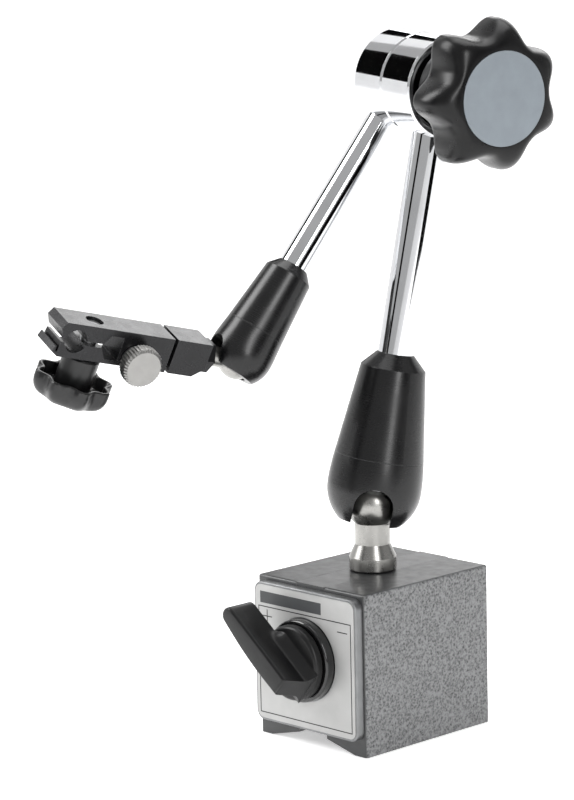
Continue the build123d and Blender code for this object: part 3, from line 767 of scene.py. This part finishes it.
@dataclass
class MagnetLever(SubAssembly):
    """The black lever that turns the magnet: a disc with a blade across it, its shaft and its pin."""

    angle_deg: float = 40.0
    foot_mm: float = 4.1
    step_mm: float = 0.4
    step_radius_mm: float = 12.2
    disc_radius_mm: float = 12.7
    disc_height_mm: float = 3.0
    disc_round_mm: float = 1.3
    length_mm: float = 26.5
    heel_mm: float = 7.7
    slope_mm: float = 3.6
    height_mm: float = 10.5
    width_mm: float = 7.5
    tip_width_mm: float = 6.0
    round_mm: float = 0.9
    fillet_mm: float = 3.4
    bulge_mm: float = 0.8
    sunk_mm: float = 0.3
    taper_power: float = 1.4
    fade_inset_mm: float = 1.0
    fade_mm: float = 4.0
    sharp_deg: float = 40.0
    steps: int = 96

    def build(self) -> None:
        """Moulds the lever and dresses the shaft and pin."""
        line = self.joints.line("lever_turn")
        moulded = FineGrain(
            # moulded nylon: deep black, with a wide soft highlight from its fine spark texture
            "nylon_black_moulded",
            colour="#0a0a0b", worn="#333334", metallic=0.0, roughness=0.36, spread=0.05, cloud_mm=5.0,
            edge_mm=0.3, wear=0.2, grain_mm=0.4, depth_mm=0.012, specular=0.35,
        ).build()
        self.place(self.mould(line), "magnet_lever", "lever_plastic", moulded, ("lever_knob",))
        self.wear(
            ("rotor_shaft", "knob_pin"),
            RoundMetal(
                # bright turned steel: fine rings that draw each highlight into a line
                "steel_turned_bright",
                colour="#a8a9aa", worn="#d8d8d8", metallic=1.0, roughness=0.28, spread=0.05,
                cloud_mm=4.0, edge_mm=0.2, wear=0.3, line=line,
            ),
        )

    def mould(self, line: AxisLine) -> bpy.types.Object:
        """Makes the disc with its rounded rim and the blade that flows into it."""
        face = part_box("front_plate")[0][1]
        lean = math.radians(self.angle_deg)
        out = Vector((0, -1, 0))
        along = Vector((-math.cos(lean), 0, math.sin(lean)))
        grid = Matrix((along, out.cross(along), out)).transposed().to_4x4()
        frame = Matrix.Translation(Vector((line.origin.x, face, line.origin.z))) @ grid
        top = self.foot_mm + self.step_mm + self.disc_height_mm
        ring = Waves().ring
        seat = self.foot_mm + self.step_mm
        rings = [ring(self.step_radius_mm, self.foot_mm), ring(self.step_radius_mm, seat)]
        rings.append(ring(self.disc_radius_mm, seat))
        for turn in quarter(6):
            inner = self.disc_radius_mm - self.disc_round_mm * (1 - math.cos(turn))
            rings.append(ring(inner, top - self.disc_round_mm * (1 - math.sin(turn))))
        disc = skin("lever_disc", frame, rings, self.steps)
        blade = self.blade(frame, top)
        for part in (disc, blade):
            crease(part, self.sharp_deg)
        return merge("lever_moulded", (disc, blade))

    def blade(self, frame: Matrix, foot: float) -> bpy.types.Object:
        """Makes the blade: outlines at rising heights, spread at the foot and drawn in at the top edge.

        Args:
            frame: matrix with X along the blade and Z outwards.
            foot: height of the disc's top, in millimetres.

        Returns:
            The blade.
        """
        levels = [(-self.sunk_mm, 0.0, self.fillet_mm)]
        for turn in quarter(8):
            levels.append((self.fillet_mm * math.sin(turn), 0.0, self.fillet_mm * (1 - math.sin(turn)) ** 2))
        levels.append((self.height_mm * 0.6, 0.0, 0.0))
        for turn in quarter(4):
            inset = self.round_mm * (1 - math.cos(turn))
            levels.append((self.height_mm - self.round_mm * (1 - math.sin(turn)), inset, 0.0))
        outlines = [self.outline(height, inset, spread) for height, inset, spread in levels]
        points = [
            frame @ Vector((u * MM, v * MM, (foot + level[0]) * MM))
            for level, outline in zip(levels, outlines)
            for u, v in outline
        ]
        count = len(outlines[0])
        faces = [
            (row + i, row + (i + 1) % count, row + count + (i + 1) % count, row + count + i)
            for row in range(0, (len(levels) - 1) * count, count)
            for i in range(count)
        ]
        faces += [tuple(reversed(range(count))), tuple((len(levels) - 1) * count + i for i in range(count))]
        return piece("lever_blade", points, faces)

    def outline(self, height: float, inset: float, spread: float) -> list[tuple[float, float]]:
        """Returns the blade's outline at one height, drawn in by an inset and spread over the disc."""
        share = max(0.0, min(1.0, height / self.height_mm))
        heel = -(self.heel_mm + self.slope_mm * (1 - share)) + inset
        tip_half = self.tip_width_mm / 2 - inset
        middle = self.length_mm - self.tip_width_mm / 2
        heel_half = self.width_mm / 2 - inset
        side, bulged = [], []
        for step in range(25):
            along = step / 24
            u = heel + (middle - heel) * along
            half = heel_half + (tip_half - heel_half) * along**self.taper_power
            fade = max(0.0, min(1.0, (self.disc_radius_mm - self.fade_inset_mm - u) / self.fade_mm))
            half += spread * fade * fade * (3 - 2 * fade)
            side.append((u, half))
            bulged.append((u, half + self.bulge_mm * math.sin(math.pi * along)))
        arc = [
            (middle + tip_half * math.cos(turn), tip_half * math.sin(turn))
            for turn in (math.radians(90 - 180 * step / 16) for step in range(1, 16))
        ]
        return bulged + arc + [(u, -v) for u, v in reversed(side)]


@dataclass
class Arm(SubAssembly):
    """One arm: ball stud, ball cap, tapered sleeve, chromed tube, elbow half and the parts inside it.

    Attributes:
        side: which arm it is.
        line: the arm's own axis.
        stud_line: the axis that the ball stud is round about.
        elbow_line: the axis that the elbow half is round about.
    """

    side: Side = Side.LOWER
    line: AxisLine | None = None
    stud_line: AxisLine | None = None
    elbow_line: AxisLine | None = None

    def build(self) -> None:
        """Dresses the arm's nodes."""
        side = self.side.value
        self.wear(
            (f"{side}_ball_cap", f"{side}_sleeve"),
            RoundMetal(
                # anodised over turned rings: glossy black with long soft highlights
                f"aluminium_black_anodised_turned_{side}",
                colour="#0d0d0e", worn="#6a6b6d", metallic=0.15, roughness=0.24, spread=0.04,
                cloud_mm=9.0, edge_mm=0.35, wear=0.3, line=self.line, mark_mm=0.3, depth_mm=0.004,
            ),
        )
        self.wear(
            (f"{side}_tube",),
            RoundMetal(
                # chrome on a ground tube: a clean mirror that shows the cards as sharp dark bands
                f"steel_chromed_tube_{side}",
                colour="#e6e7e9", worn="#f2f2f2", metallic=1.0, roughness=0.05, spread=0.02,
                cloud_mm=12.0, edge_mm=0.1, wear=0.1, line=self.line, mark_mm=0.6, depth_mm=0.0005,
                streak=0.01,
            ),
        )
        self.wear(
            (f"elbow_half_{side}",),
            RoundMetal(
                # chrome on a turned cap: the same mirror, bent round the elbow
                f"steel_chromed_elbow_{side}",
                colour="#e6e7e9", worn="#f2f2f2", metallic=1.0, roughness=0.05, spread=0.02,
                cloud_mm=12.0, edge_mm=0.15, wear=0.1, line=self.elbow_line, mark_mm=0.5,
                depth_mm=0.0005, streak=0.01,
            ),
        )
        self.wear(
            (f"{side}_ball_stud",),
            RoundMetal(
                # satin turned steel: a warm grey with broad highlights
                f"steel_turned_satin_{side}",
                colour="#a2a19e", worn="#d5d4d1", metallic=1.0, roughness=0.26, spread=0.05,
                cloud_mm=4.0, edge_mm=0.35, wear=0.3, line=self.stud_line, mark_mm=0.2,
            ),
        )
        self.wear(
            (f"{side}_pressure_cup", f"{side}_push_rod"),
            RoundMetal(
                # plain turned steel inside the arm: a dull mid grey
                f"steel_turned_plain_{side}",
                colour="#8d8e8f", worn="#c0c0c0", metallic=1.0, roughness=0.35, spread=0.05,
                cloud_mm=4.0, edge_mm=0.2, wear=0.3, line=self.line,
            ),
        )


@dataclass
class ElbowClamp(SubAssembly):
    """The knob that locks the whole stand, its bolt, insert, washer and disc."""

    lobes: int = 7
    tip_mm: float = 25.4
    waist_mm: float = 20.2
    hub_mm: float = 14.5
    disc_mm: float = 15.5
    back_mm: float = 22.0
    front_mm: float = 39.6
    foot_mm: float = 10.4
    disc_proud_mm: float = 0.35
    bore_mm: float = 8.0
    chamfer_mm: float = 0.6
    shoulder_mm: float = 18.2
    back_round_mm: float = 3.6
    grip_mm: float = 7.2
    lip_mm: float = 0.45
    lobe_power: float = 1.15
    dome_power: float = 2.2
    fade_power: float = 1.7
    sharp_deg: float = 35.0
    steps: int = 336

    def build(self) -> None:
        """Dresses the clamp and moulds the knob."""
        line = self.joints.line("knob_turn")
        self.wear(
            ("clamp_bolt",),
            RoundMetal(
                # turned steel inside the elbow: a mid grey with fine rings
                "steel_turned_blacked",
                colour="#8d8e8f", worn="#c0c0c0", metallic=1.0, roughness=0.3, spread=0.05,
                cloud_mm=4.0, edge_mm=0.2, wear=0.3, line=line,
            ),
        )
        self.wear(
            ("knob_insert", "thrust_washer"),
            RoundMetal(
                # turned brass: a warm yellow glint behind the black knob
                "brass_turned",
                colour="#b9924c", worn="#e0bf7e", metallic=1.0, roughness=0.3, spread=0.05,
                cloud_mm=4.0, edge_mm=0.2, wear=0.3, line=line,
            ),
        )
        self.wear(
            ("knob_disc",),
            RoundMetal(
                # spun aluminium: fine rings about the middle, which fan the light out
                "aluminium_grey_spun",
                colour="#979fa6", worn="#cfd4d8", metallic=0.8, roughness=0.4, spread=0.04,
                cloud_mm=6.0, edge_mm=0.15, wear=0.4, line=line, mark_mm=0.18,
            ),
        )
        moulded = FineGrain(
            # glass-filled nylon: near-black and faintly pebbled, so its highlights break up
            "nylon_glass_filled_moulded",
            colour="#060607", worn="#262627", metallic=0.0, roughness=0.3, spread=0.05, cloud_mm=6.0,
            edge_mm=0.3, wear=0.12, grain_mm=0.5, depth_mm=0.03, specular=0.3,
        ).build()
        knob = self.mould(line)
        self.place(knob, "star_knob", "knob_plastic", moulded, ("star_knob",))

    def mould(self, line: AxisLine) -> bpy.types.Object:
        """Makes the knob: a hub, seven lobes, a domed front and a recess for the disc."""
        frame = line.basis()
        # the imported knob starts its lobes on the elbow's own axis
        start = self.joints.line("lower_twist").direction
        local = frame.to_3x3().transposed() @ start
        frame = frame @ Matrix.Rotation(math.atan2(local.y, local.x), 4, "Z")
        ring = Waves(self.lobes, self.tip_mm - self.waist_mm, self.lobe_power).ring
        rings = [ring(self.bore_mm, self.foot_mm, 0), ring(self.hub_mm - self.chamfer_mm, self.foot_mm, 0)]
        rings.append(ring(self.hub_mm, self.foot_mm + self.chamfer_mm, 0))
        # the hub runs into the lobes' back in a hollow curve
        for out, below in ((0.0, 2.0), (0.5, 0.8), (1.8, 0.1)):
            rings.append(ring(self.hub_mm + out, self.back_mm - below, 0))
        for turn in quarter(8):
            out = math.sin(turn)
            radius = self.shoulder_mm + (self.waist_mm - self.shoulder_mm) * out
            rings.append(ring(radius, self.back_mm + self.back_round_mm * (1 - math.cos(turn)), out))
        rings.append(ring(self.waist_mm, self.back_mm + self.grip_mm, 1.0))
        rise = self.front_mm - self.back_mm - self.grip_mm
        for step in range(1, 15):
            share = step / 14
            fall = share**self.dome_power
            radius = self.waist_mm - (self.waist_mm - self.disc_mm - self.lip_mm) * fall
            height = self.back_mm + self.grip_mm + rise * math.sin(math.radians(90 * share))
            rings.append(ring(radius, height, 1 - share**self.fade_power))
        top = self.front_mm
        rings += [ring(self.disc_mm + 0.05, top, 0), ring(self.disc_mm, top - self.disc_proud_mm, 0)]
        rings.append(ring(self.bore_mm, top - self.disc_proud_mm, 0))
        knob = skin("star_knob_moulded", frame, rings, self.steps)
        crease(knob, self.sharp_deg)
        return knob


@dataclass
class IndicatorHolder(SubAssembly):
    """The split holder block with its fine adjustment, jaws and two screws."""

    lobes: int = 8
    tip_mm: float = 13.5
    waist_mm: float = 11.4
    hub_mm: float = 6.2
    wall_mm: float = 1.3
    rim_mm: float = -14.4
    bottom_mm: float = -22.4
    flat_mm: float = 8.6
    hub_top_mm: float = -6.7
    cavity_mm: float = 5.0
    screw_mm: float = 3.0
    stem_mm: float = 2.0
    stem_end_mm: float = 2.9
    collar_mm: float = 4.5
    collar_start_mm: float = 6.3
    head_mm: float = 6.9
    head_start_mm: float = 9.8
    head_length_mm: float = 4.8
    chamfer_mm: float = 1.0
    ridges: int = 38
    knurl_mm: float = 0.5
    edge_mm: float = 0.4
    skirt_mm: float = 2.2
    fade_power: float = 0.8
    screw_sharp_deg: float = 25.0
    sharp_deg: float = 40.0
    steps: int = 256

    def build(self) -> None:
        """Dresses the holder and moulds the small knob."""
        along = self.joints.line("holder_roll")
        across = self.joints.line("adjust_screw_turn")
        down = self.joints.line("clamp_screw_turn")
        self.wear(
            ("rear_block", "holder_block"),
            FineGrain(
                # anodised over milling: dark satin faces with metal showing along the edges
                "aluminium_black_anodised_milled",
                colour="#232325", worn="#8a8b8d", metallic=0.5, roughness=0.27, spread=0.05,
                cloud_mm=5.0, edge_mm=0.22, wear=0.45, grain_mm=0.25, depth_mm=0.01,
            ),
        )
        self.wear(
            ("lock_nut",),
            RoundMetal(
                # blacked steel: dark grey flats with worn bright corners
                "steel_blacked_nut",
                colour="#2e2e2f", worn="#8c8c8c", metallic=1.0, roughness=0.32, spread=0.05,
                cloud_mm=3.0, edge_mm=0.25, wear=0.4, line=along,
            ),
        )
        self.wear(
            ("pivot_pin", "clamp_screw"),
            RoundMetal(
                # turned steel: bright ends with fine rings
                "steel_turned_screw",
                colour="#b9babb", worn="#dadada", metallic=1.0, roughness=0.3, spread=0.05,
                cloud_mm=3.0, edge_mm=0.2, wear=0.3, line=down,
            ),
        )
        nickel = RoundMetal(
            # nickel over straight knurling: bright ridges with dark gaps between them
            "steel_nickel_plated_knurled",
            colour="#9b9a98", worn="#d9d8d5", metallic=1.0, roughness=0.3, spread=0.04, cloud_mm=3.0,
            edge_mm=0.1, wear=0.4, line=across, mark_mm=0.16,
        ).build()
        self.place(self.turn_screw(across), "thumbscrew", "satin_steel", nickel, ("thumbscrew",))
        moulded = FineGrain(
            # moulded phenolic: smooth black with a hard, slightly wavy shine
            "phenolic_black_moulded",
            colour="#0e0e0f", worn="#3a3a3b", metallic=0.0, roughness=0.33, spread=0.04, cloud_mm=4.0,
            edge_mm=0.25, wear=0.25, grain_mm=0.6, depth_mm=0.008, coat=0.05,
        ).build()
        self.place(self.mould(down), "clamp_knob", "clamp_plastic", moulded, ("clamp_knob",))

    def turn_screw(self, line: AxisLine) -> bpy.types.Object:
        """Turns the adjusting screw: a plain stem, a collar and a head with straight knurling."""
        ring = Waves(self.ridges, -self.knurl_mm).ring
        head, edge = self.head_mm, self.edge_mm
        top = self.head_start_mm + self.head_length_mm
        rings = [ring(self.stem_mm, self.stem_end_mm), ring(self.stem_mm, self.collar_start_mm)]
        rings += [ring(self.collar_mm, self.collar_start_mm), ring(self.collar_mm, self.head_start_mm)]
        rings += [ring(head - edge, self.head_start_mm), ring(head, self.head_start_mm + edge, 1)]
        rings += [ring(head, top - self.chamfer_mm, 1), ring(head - self.chamfer_mm, top)]
        rings.append(ring(1.0, top))
        screw = skin("thumbscrew_knurled", line.basis(), rings, self.ridges * 8)
        crease(screw, self.screw_sharp_deg)
        return screw

    def mould(self, line: AxisLine) -> bpy.types.Object:
        """Makes the small knob: a hub in a hollow star whose open side faces the holder."""
        ring = Waves(self.lobes, self.tip_mm - self.waist_mm).ring
        rings = [ring(self.screw_mm, self.hub_top_mm, 0), ring(self.hub_mm - 0.5, self.hub_top_mm, 0)]
        rings.append(ring(self.hub_mm, self.hub_top_mm - 0.5, 0))
        floor = self.rim_mm - self.cavity_mm
        inner = self.waist_mm - self.wall_mm
        rings += [ring(self.hub_mm, floor + 0.8, 0), ring(self.hub_mm + 0.8, floor, 0)]
        rings += [ring(inner - 1.0, floor, 0.6), ring(inner - 0.2, floor + 0.8, 0.9)]
        rings += [ring(inner, self.rim_mm - 0.3, 1), ring(inner + 0.3, self.rim_mm, 1)]
        edge, skirt = self.edge_mm, self.rim_mm - self.skirt_mm
        rings += [ring(self.waist_mm - edge, self.rim_mm, 1), ring(self.waist_mm, self.rim_mm - edge, 1)]
        rings.append(ring(self.waist_mm, skirt, 1))
        fall = skirt - self.bottom_mm
        for turn in quarter(9, 1):
            share = 1 - math.cos(turn)
            radius = self.waist_mm - (self.waist_mm - self.flat_mm) * share
            rings.append(ring(radius, skirt - fall * math.sin(turn), math.cos(turn) ** self.fade_power))
        rings.append(ring(2.0, self.bottom_mm, 0))
        knob = skin("clamp_knob_moulded", line.basis(), rings, self.steps)
        crease(knob, self.sharp_deg)
        return knob


# ---------------------------------------------------------------- studio
@dataclass(frozen=True)
class Spot:
    """The place and size of a light or a card, in metres and in degrees about the stand."""

    name: str
    azimuth: float
    elevation: float
    reach: float
    width: float
    height: float
    power: float = 0.0


SOFT_BOXES = (
    Spot("key_box", -95.0, 38.0, 1.1, 0.45, 0.8, power=10.0),
    Spot("fill_box", 22.0, 22.0, 1.3, 0.25, 0.9, power=7.0),
    Spot("top_box", 150.0, 75.0, 1.2, 0.9, 0.9, power=7.0),
    Spot("rear_box", 166.0, 28.0, 1.2, 0.6, 0.35, power=1.3),
)
DARK_CARDS = (
    Spot("dark_card_back_left", -123.0, 25.0, 0.9, 0.36, 0.42),
    Spot("dark_card_left", -60.0, 12.0, 0.9, 0.2, 1.0),
    Spot("dark_card_right", 47.0, 12.0, 0.8, 0.3, 1.0),
    Spot("dark_card_rear_right", 118.0, 10.0, 0.95, 0.22, 1.0),
    Spot("dark_card_rear", -172.0, 8.0, 1.0, 0.2, 1.0),
)


@dataclass
class Studio:
    """A pale floor, soft boxes and dark cards, and the camera."""

    camera_mm: tuple[float, float, float] = (743.4, -759.4, 301.8)
    heading_deg: float = 45.893
    elevation_deg: float = 10.041
    roll_deg: float = -1.252
    lens_mm: float = 144.8
    sensor_mm: float = 36.0
    room_light: float = 0.5
    floor_glow: float = 0.45
    middle: float = 0.13

    def build(self) -> None:
        """Makes the floor, the lights and the camera."""
        self.floor()
        self.world()
        self.lights()
        self.camera()

    def floor(self) -> None:
        """Makes a plain pale floor that curves up behind the object."""
        half, back, lift, bend, sunk = 14.0, 3.0, 2.6, 1.2, 0.0002
        rows = [(-half, 0.0), (back - bend, 0.0)]
        for turn in quarter(12, 1):
            rows.append((back - bend + bend * math.sin(turn), bend * (1 - math.cos(turn))))
        rows.append((back, lift))
        turn = Matrix.Rotation(math.radians(self.heading_deg), 4, "Z")
        points = [turn @ Vector((side * half, y, z - sunk)) for y, z in rows for side in (-1, 1)]
        faces = [(2 * i, 2 * i + 1, 2 * i + 3, 2 * i + 2) for i in range(len(rows) - 1)]
        floor = piece("studio_floor", points, faces)
        # matt paper: an even white with a soft shadow, which the glow keeps bright
        white = bpy.data.materials.new("paper_white_matt")
        white.use_nodes = True
        shader = white.node_tree.nodes["Principled BSDF"]
        shader.inputs["Base Color"].default_value = linear("#f7f7f7")
        shader.inputs["Roughness"].default_value = 0.9
        shader.inputs["Emission Color"].default_value = linear("#ffffff")
        shader.inputs["Emission Strength"].default_value = self.floor_glow
        dress(floor, white)

    def world(self) -> None:
        """Lights the room evenly."""
        world = bpy.data.worlds.new("studio")
        world.use_nodes = True
        world.node_tree.nodes["Background"].inputs["Color"].default_value = linear("#ffffff")
        world.node_tree.nodes["Background"].inputs["Strength"].default_value = self.room_light
        bpy.context.scene.world = world
        bpy.context.scene.view_settings.view_transform = "Standard"

    def lights(self) -> None:
        """Hangs soft boxes to the left, right and above, and dark cards that the chrome reflects."""
        for spot in SOFT_BOXES:
            data = bpy.data.lights.new(spot.name, "AREA")
            data.shape = "RECTANGLE"
            data.size, data.size_y = spot.width, spot.height
            data.energy = spot.power
            box = bpy.data.objects.new(spot.name, data)
            bpy.context.scene.collection.objects.link(box)
            self.aim(box, spot)
        # black card: takes no light of its own, and shows only as dark bands in the chrome
        black = bpy.data.materials.new("card_black_matt")
        black.use_nodes = True
        shader = black.node_tree.nodes["Principled BSDF"]
        shader.inputs["Base Color"].default_value = linear("#060606")
        shader.inputs["Roughness"].default_value = 1.0
        shader.inputs["Specular IOR Level"].default_value = 0.0
        corners = ((-1, -1), (1, -1), (1, 1), (-1, 1))
        for spot in DARK_CARDS:
            points = [Vector((x * spot.width / 2, y * spot.height / 2, 0)) for x, y in corners]
            card = piece(spot.name, points, [(0, 1, 2, 3)], smooth=False)
            self.aim(card, spot)
            card.visible_camera = False
            card.visible_shadow = False
            card.visible_diffuse = False
            dress(card, black)

    def aim(self, obj: bpy.types.Object, spot: Spot) -> None:
        """Puts an object round the stand, facing it.

        Args:
            obj: a light or card that faces along its own -Z.
            spot: its place, with azimuth to the right of the camera's direction and reach from the middle.
        """
        turn = math.radians(self.heading_deg + spot.azimuth)
        rise = math.radians(spot.elevation)
        side = Vector((math.sin(turn) * math.cos(rise), -math.cos(turn) * math.cos(rise), math.sin(rise)))
        obj.location = Vector((0, 0, self.middle)) + side * spot.reach
        obj.rotation_euler = side.to_track_quat("Z", "Y").to_euler()

    def camera(self) -> None:
        """Sets up the camera."""
        data = bpy.data.cameras.new("camera")
        data.lens = self.lens_mm
        data.sensor_width = self.sensor_mm
        data.clip_start, data.clip_end = 0.05, 20.0
        camera = bpy.data.objects.new("camera", data)
        bpy.context.scene.collection.objects.link(camera)
        azimuth, rise = math.radians(self.heading_deg), math.radians(self.elevation_deg)
        level = math.cos(rise)
        back = Vector((math.sin(azimuth) * level, -math.cos(azimuth) * level, math.sin(rise)))
        right = Vector((math.cos(azimuth), math.sin(azimuth), 0))
        turned = Matrix.Rotation(math.radians(self.roll_deg), 3, back)
        right = turned @ right
        up = back.cross(right)
        grid = Matrix((right, up, back)).transposed().to_4x4()
        camera.matrix_world = Matrix.Translation(Vector(self.camera_mm) * MM) @ grid
        bpy.context.scene.camera = camera


def main() -> None:
    """Loads the frame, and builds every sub-assembly and the studio."""
    logging.basicConfig(level=logging.INFO, format="%(name)s: %(message)s")
    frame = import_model()
    joints = Joints({row["name"]: row for row in frame["record"]["behaviour"]["joints"]})
    nodes = frame["nodes"]
    elbow = joints.line("elbow_hinge")
    up = AxisLine(joints.line("stud_turn").origin, Vector((0, 0, 1)))
    tilt = joints.line("holder_tilt")
    upper_slide = AxisLine(tilt.origin, Vector(joints.rows["upper_rod_slide"]["axis"]).normalized())
    Studio().build()
    MagneticBase(nodes, joints).build()
    MagnetLever(nodes, joints).build()
    Arm(nodes, joints, Side.LOWER, joints.line("lower_twist"), up, elbow).build()
    Arm(nodes, joints, Side.UPPER, upper_slide, joints.line("holder_roll"), elbow).build()
    ElbowClamp(nodes, joints).build()
    IndicatorHolder(nodes, joints).build()


if __name__ == "__main__":
    main()
